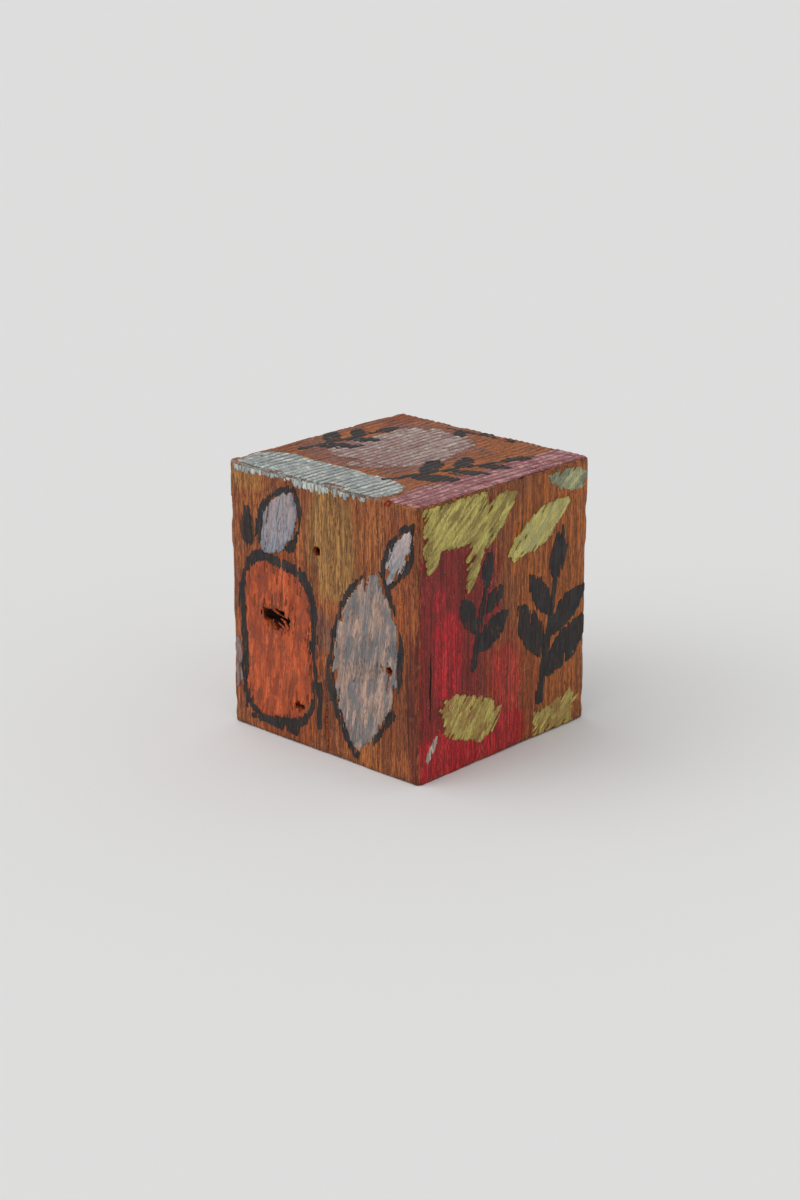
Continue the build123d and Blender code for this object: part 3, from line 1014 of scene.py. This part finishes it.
def sprig_fields(foot, turn, stem, count, length, across):
    """The stem of a sprig, the leaves on alternate sides of it, and one at its tip."""

    def along(place, angle, reach):
        return place[0] + reach * cos(radians(angle)), place[1] + reach * sin(radians(angle))

    tip = along(foot, turn, stem)
    fields = [bar_field(foot, tip, 0.34 * across)]
    for k in range(count):
        side = 1 if k % 2 else -1
        shrink = 1 - 0.4 * k / count
        base = along(foot, turn, stem * (0.18 + 0.72 * k / count))
        leaf_turn = turn + side * leaf_spread
        centre = along(base, leaf_turn, 0.5 * shrink * length)
        fields.append(leaf_field(centre, shrink * length, shrink * across, leaf_turn))
    fields.append(leaf_field(along(tip, turn, 0.3 * length), 0.7 * length, 0.7 * across, turn))
    return fields


def grown(reach, margin):
    """A region with a margin round it."""
    return (reach[0] - margin, reach[1] + margin, reach[2] - margin, reach[3] + margin)


def lay_coats():
    """The raised coats, each in place of its own CAD solid."""
    outlines = {}
    for seed, (node, (second, cover, under, turn)) in enumerate(second_tints.items()):
        face = faces[node.split("_")[0]]
        field, outer, reach, thick = coat_field(face, node)
        material = paint_material(node, tint_of(node), second, face, cover, under, turn)
        rough = ragged(face, field, 0.95 if thick > 0.25 else 1.7, 3 * seed, turn)
        coat = film(f"{node}_film", face, rough, reach, thick, material, seed, turn)
        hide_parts(node)
        laid[face.name].append((rough, thick))
        outlines[node] = (face, outer, reach)
    return outlines


def lay_lips():
    """Ragged blue paint that hangs over the front's top edge."""
    face = faces["front"]
    second, cover, under, _ = second_tints["top_blue_band_paint"]
    blue = paint_material("blue_lip", main_tints["blue"], second, face, cover, under)
    for k, (start, end, drop) in enumerate(lips):
        field, reach = bar_field((start, height - 0.8), (end, height - 0.8), 2 * drop)
        rough = ragged(face, field, 1.3, 160 + 3 * k)
        lip = film(f"blue_lip_{k}", face, rough, reach, lip_thickness, blue, 160 + k, step=fine_step)


def ink_material():
    """Thin black paint, browner where the brush was dry."""
    shader = Shader("black_brush")
    drag = shader.noise((0.55, 0.55, 7), 5.0, 2.0, 0.65)
    fine = shader.noise((0.24, 0.24, 2.0), 3.0, 4.0, 0.7)
    dry = shader.times(shader.step(drag, 0.47, 0.62), shader.step(fine, 0.38, 0.6))
    colour = shader.mix(dry, (0.011, 0.012, 0.013), (0.10, 0.042, 0.024))
    dull = shader.step(shader.noise((5, 5, 8), 3.0, 9.0), 0.48, 0.66)
    colour = shader.over(colour, (0.04, 0.043, 0.042), dull, 0.4)
    return shader.finish(colour, shader.scaled(drag, 0.3, 0.42), fine, 0.12)


def lay_ink(outlines):
    """The black brushwork: lines round the coats, and marks that stand alone."""
    black = ink_material()
    marks = []
    for k, (node, stroke) in enumerate(lined.items()):
        face, field, reach = outlines[node]
        drawn = outline_field(field, stroke * 0.35, stroke, 50 + 5 * k)
        marks.append((f"{node}_line", face, drawn, grown(reach, 3)))
    for k, (name, *shape) in enumerate(sprigs):
        for part, (field, reach) in enumerate(sprig_fields(*shape)):
            marks.append((f"{name}_sprig_{k}_{part}", faces[name], field, reach))
    for k, stroke in enumerate(front_dabs):
        marks.append((f"front_dab_{k}", faces["front"], *bar_field(*stroke)))
    for seed, (name, face, field, reach) in enumerate(marks):
        rough = ragged(face, field, 0.8, 200 + 3 * seed)
        line = film(name, face, rough, reach, ink_thickness, black, 200 + seed, step=fine_step)


# -------------------- studio
# The soft lights: where each shines from, how wide it is in degrees, and how strong.
lamps = {"overhead": ((-0.5, -0.7, 1.5), 75, 0.85), "left_window": ((-0.7, -1.3, 0.8), 50, 0.35)}


def studio():
    """A pale seamless floor and soft light from above."""
    floor_material = bpy.data.materials.new("floor")
    floor_material.use_nodes = True
    bsdf = floor_material.node_tree.nodes["Principled BSDF"]
    bsdf.inputs["Base Color"].default_value = (0.82, 0.82, 0.817, 1)
    bsdf.inputs["Roughness"].default_value = 0.85
    bsdf.inputs["Specular IOR Level"].default_value = 0.15
    bpy.ops.mesh.primitive_plane_add(size=30, location=(0, 0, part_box("wood_block")[0][2]))
    floor = bpy.context.object
    floor.name = "floor"
    floor.data.materials.append(floor_material)

    world = bpy.data.worlds.new("studio")
    world.use_nodes = True
    world.node_tree.nodes["Background"].inputs["Color"].default_value = (1, 1, 1, 1)
    world.node_tree.nodes["Background"].inputs["Strength"].default_value = 0.60
    bpy.context.scene.world = world
    bpy.context.scene.view_settings.view_transform = "Standard"

    for name, (source, spread, strength) in lamps.items():
        light = bpy.data.lights.new(name, "SUN")
        light.angle = radians(spread)
        light.energy = strength
        placed(name, light).rotation_euler = Vector(source).to_track_quat("Z", "Y").to_euler()


def camera():
    """A long lens that looks down at the corner between the front and the right."""
    azimuth, elevation, roll = radians(42.989), radians(18.889), radians(-0.104)
    right = Vector((cos(azimuth), sin(azimuth), 0))
    back = Vector((sin(azimuth) * cos(elevation), -cos(azimuth) * cos(elevation), sin(elevation)))
    up = back.cross(right)
    unit = width * MM
    made = bpy.data.cameras.new("camera")
    made.lens = 71.7
    made.sensor_width = 36
    made.clip_end = 100
    eye = placed("camera", made)
    turn = Matrix((right, up, back)).transposed() @ Matrix.Rotation(roll, 3, "Z")
    eye.matrix_world = turn.to_4x4()
    eye.location = unit * (-0.0365 * right + 0.4726 * up + 9.5633 * back)
    bpy.context.scene.camera = eye


camera()
studio()
torn_wood_and_hollow_shade = hollow_material()
block = build_block([wood_material(face) for face in faces.values()] + [torn_wood_and_hollow_shade])
cut(block, wood_cutters())
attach(block, "root")
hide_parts("wood_block")
lay_fibres(torn_wood_and_hollow_shade)
coat_outlines = lay_coats()
lay_lips()
lay_ink(coat_outlines)
